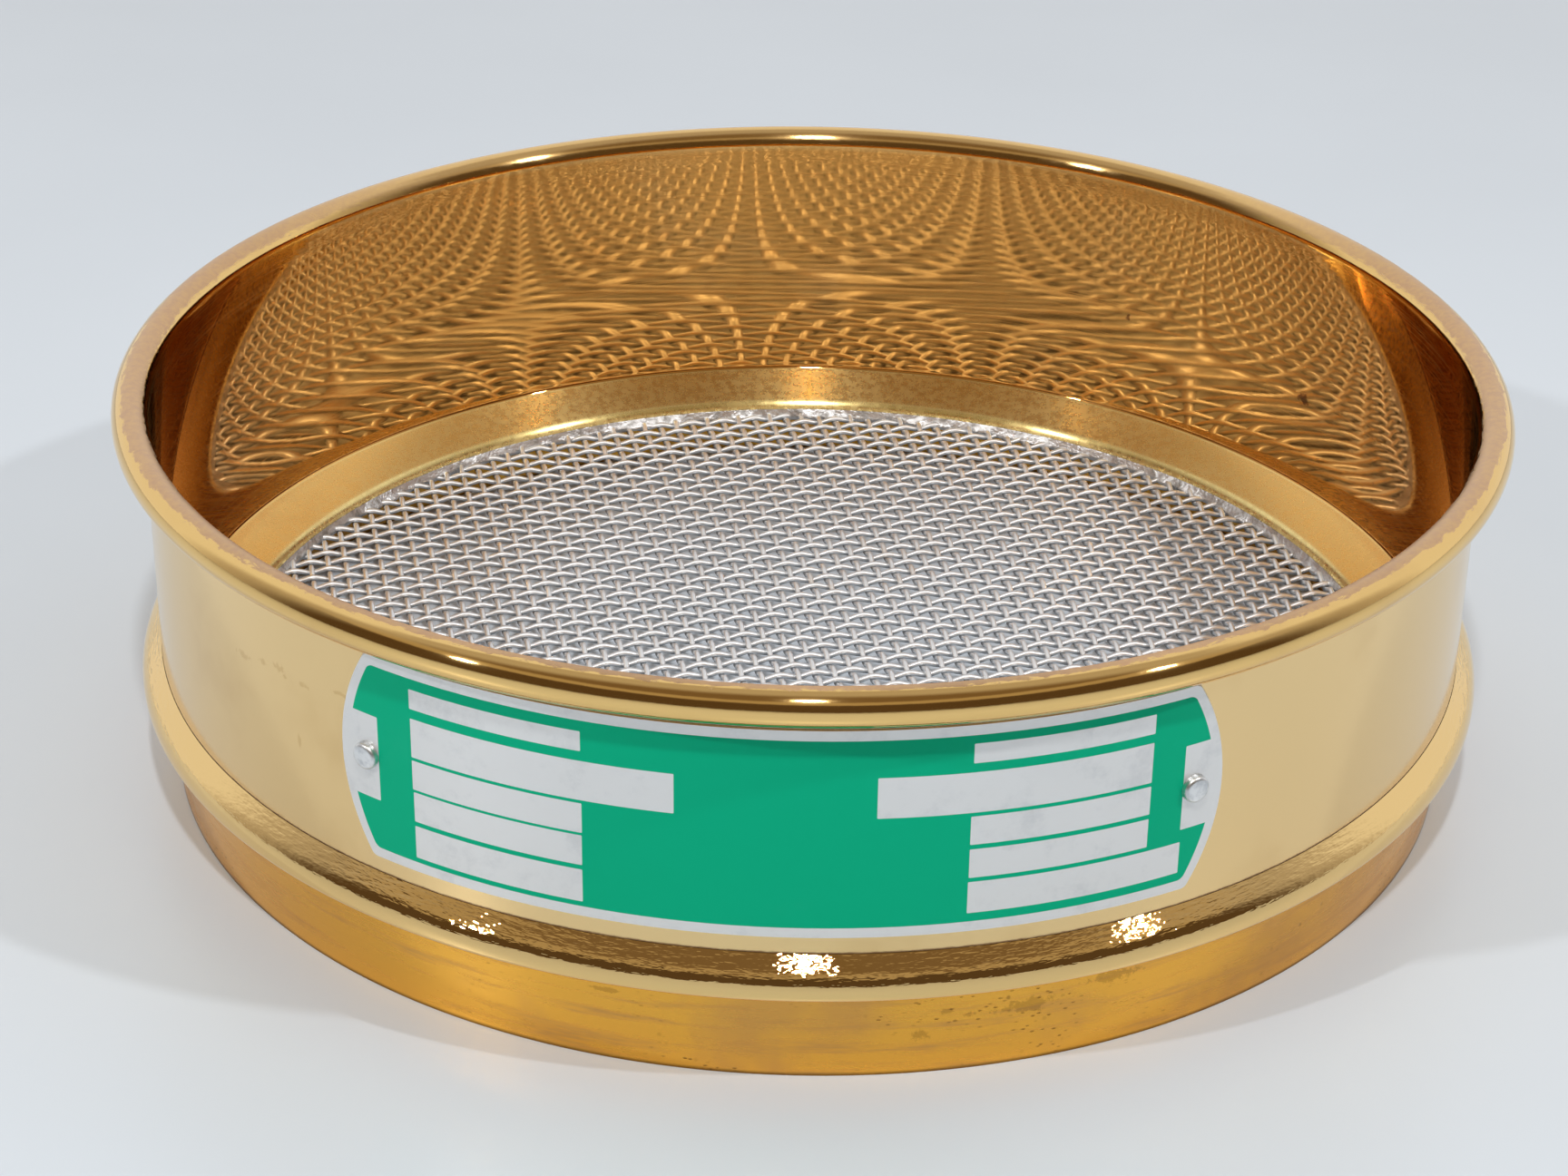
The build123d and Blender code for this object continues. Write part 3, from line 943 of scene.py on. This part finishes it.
def plate_material(size):
    """Green print on satin aluminium, with a bare border, rivet tabs and empty label boxes."""
    material, shader, surface = new_material("Printed plate", 0.0)
    place, round_way, _, height = place_nodes(shader)
    split = shader.add("ShaderNodeSeparateXYZ")
    shader.put(split.inputs[0], round_way)
    along = split.outputs[0]
    middle = (plate_low.z + plate_high.z) / 2 * TO_MM
    half_height = (plate_high.z - plate_low.z) / 2 * TO_MM
    bow = shader.maths("POWER", shader.maths("DIVIDE", shader.minus(height, middle), half_height), 2.0)
    bowed = shader.plus(shader.maths("ABSOLUTE", along), shader.times(bow, PLATE_BOW))
    plate_r = -plate_low.y * TO_MM
    border = size.border * TO_MM
    half_length = plate_r * math.asin(plate_high.x * TO_MM / plate_r)
    field = label_box(
        shader, bowed, height, 0.0, middle, half_length - border, half_height - border, size.corner * TO_MM
    )
    bare = 0.0
    for left, right, low, high in LABEL_BOXES:
        box = label_box(
            shader,
            along,
            height,
            (left + right) / 2,
            middle + (low + high) / 2,
            (right - left) / 2,
            (high - low) / 2,
            size.box_corner * TO_MM,
        )
        bare = shader.maths("MAXIMUM", bare, box)
    printed = shader.times(field, shader.minus(1.0, bare))

    rubbed = shader.ramp(shader.noise(place, 60.0, 4.0, 0.65), 0.62, 0.82, 0.0, 0.15)
    green = shader.mix(rubbed, rgba(size.green), rgba(size.scuff))
    brush = shader.noise(shader.stretched(round_way, (0.25, 6.0, 6.0)), 1.0, 3.0, 0.6)
    marks = shader.ramp(shader.noise(place, 130.0, 5.0, 0.7), 0.5, 0.75, 0.0, 0.5)
    metal = shader.mix(marks, rgba(size.metal), rgba(size.grime))
    shader.put(surface.inputs["Base Color"], shader.mix(printed, metal, green))
    shader.put(surface.inputs["Metallic"], shader.times(shader.minus(1.0, printed), 0.55))
    shader.put(surface.inputs["Roughness"], shader.ramp(brush, 0.3, 0.7, 0.30, 0.42))
    surface.inputs["Specular IOR Level"].default_value = 0.06
    relief = shader.plus(shader.times(printed, 0.6), shader.times(brush, 0.1))
    bump(shader, surface, relief, 0.02 * MM)
    return material


def rivet_material(size):
    material, shader, surface = new_material("Rivet aluminium")
    place, _, _, _ = place_nodes(shader)
    shade = shader.ramp(shader.noise(place, 900.0, 3.0), 0.35, 0.7)
    shader.put(surface.inputs["Base Color"], shader.mix(shade, rgba(size.metal), rgba(size.grime)))
    shader.put(surface.inputs["Roughness"], shader.ramp(shade, 0.0, 1.0, 0.32, 0.42))
    bump(shader, surface, shade, 0.01 * MM)
    return material


def table_material(size):
    material, shader, surface = new_material("Table", 0.0)
    place = shader.add("ShaderNodeTexCoord").outputs["Object"]
    shade = shader.ramp(shader.noise(place, 9.0, 4.0), 0.3, 0.7)
    dark = tuple(0.97 * channel for channel in size.table)
    shader.put(surface.inputs["Base Color"], shader.mix(shade, rgba(size.table), rgba(dark)))
    surface.inputs["Roughness"].default_value = 0.32
    return material


# ---- stage ----


class SIEVE_OT_stage(SieveOperator, bpy.types.Operator):
    """Table, soft light and camera"""

    bl_idname = "sieve.stage"
    bl_label = "Table, light and camera"

    def execute(self, context):
        size = context.scene.sieve_stage
        deselect()
        bpy.ops.mesh.primitive_plane_add(size=16.0, location=(0, 0, 0))
        floor = named("table")
        dress(floor, table_material(size))
        self.world()
        for name, place, power in LAMPS:
            self.lamp(name, Vector(place), size.lamp_width, power)
        self.camera(context, size)
        context.scene.view_settings.view_transform = "Standard"
        return {"FINISHED"}

    def world(self):
        world = bpy.data.worlds.new("Soft room")
        bpy.context.scene.world = world
        world.use_nodes = True
        shader = Shader(world.node_tree)
        back = world.node_tree.nodes["Background"]
        split = shader.add("ShaderNodeSeparateXYZ")
        shader.put(split.inputs[0], shader.add("ShaderNodeTexCoord").outputs["Generated"])
        _, y, z = split.outputs
        room = shader.mix(shader.ramp(z, 0.58, 0.66), LOW_ROOM, HIGH_ROOM)
        room = shader.mix(shader.ramp(z, 0.76, 0.83), room, CEILING)
        room = shader.mix(shader.ramp(y, -0.25, 0.15), room, BEHIND)
        wall = shader.times(shader.ramp(y, 0.1, 0.35), shader.ramp(z, 0.80, 0.86, 1.0, 0.0))
        room = shader.mix(wall, room, BACK_WALL)
        seen = shader.add("ShaderNodeLightPath").outputs["Is Camera Ray"]
        shader.put(back.inputs["Color"], shader.mix(seen, room, BACKDROP))
        back.inputs["Strength"].default_value = 1.0

    def lamp(self, name, place, width, power):
        data = bpy.data.lights.new(name, "AREA")
        data.shape = "DISK"
        data.size = width
        data.energy = power
        lamp = bpy.data.objects.new(name, data)
        lamp.location = place
        lamp.rotation_euler = (-place).to_track_quat("-Z", "Y").to_euler()
        bpy.context.scene.collection.objects.link(lamp)

    def camera(self, context, size):
        spot = Matrix.Rotation(CAMERA_TURN, 3, "Z") @ Vector(CAMERA_SPOT)
        level = math.cos(CAMERA_ELEVATION)
        ahead = Vector((math.sin(CAMERA_PAN) * level, math.cos(CAMERA_PAN) * level, -math.sin(CAMERA_ELEVATION)))
        right = Vector((math.cos(CAMERA_PAN), -math.sin(CAMERA_PAN), 0))
        up = right.cross(ahead)
        right, up = (
            right * math.cos(CAMERA_ROLL) + up * math.sin(CAMERA_ROLL),
            up * math.cos(CAMERA_ROLL) - right * math.sin(CAMERA_ROLL),
        )
        look = Matrix((right, up, -ahead)).transposed()
        look = Matrix.Rotation(CAMERA_TURN, 3, "Z") @ look
        data = bpy.data.cameras.new("camera")
        data.lens = size.lens
        data.sensor_width = 36.0
        data.clip_start = 0.01
        camera = bpy.data.objects.new("camera", data)
        camera.matrix_world = Matrix.Translation(spot) @ look.to_4x4()
        context.scene.collection.objects.link(camera)
        context.scene.camera = camera


# ---- panel and registration ----


class VIEW3D_PT_sieve(bpy.types.Panel):
    bl_label = "Test sieve"
    bl_space_type = "VIEW_3D"
    bl_region_type = "UI"
    bl_category = "Sieve"

    def draw(self, context):
        for operator in OPERATORS:
            self.layout.operator(operator.bl_idname)
        for name in SETTINGS:
            group = getattr(context.scene, name)
            box = self.layout.box()
            for key in group.bl_rna.properties.keys():
                if key not in ("rna_type", "name"):
                    box.prop(group, key)


OPERATORS = (SIEVE_OT_pan, SIEVE_OT_skirt, SIEVE_OT_cloth, SIEVE_OT_solder, SIEVE_OT_nameplate, SIEVE_OT_stage)
SETTINGS = {
    "sieve_pan": SievePanSettings,
    "sieve_skirt": SieveSkirtSettings,
    "sieve_cloth": SieveClothSettings,
    "sieve_plate": SievePlateSettings,
    "sieve_stage": SieveStageSettings,
}
CLASSES = (*SETTINGS.values(), *OPERATORS, VIEW3D_PT_sieve)


def register():
    for cls in CLASSES:
        bpy.utils.register_class(cls)
    for name, group in SETTINGS.items():
        setattr(bpy.types.Scene, name, bpy.props.PointerProperty(type=group))


def unregister():
    for name in SETTINGS:
        delattr(bpy.types.Scene, name)
    for cls in reversed(CLASSES):
        bpy.utils.unregister_class(cls)


def main():
    register()
    polar_group()
    stains_group()
    label_box_group()
    bpy.ops.sieve.pan()
    bpy.ops.sieve.skirt()
    bpy.ops.sieve.cloth()
    bpy.ops.sieve.solder()
    bpy.ops.sieve.nameplate()
    bpy.ops.sieve.stage()


if __name__ == "__main__":
    main()
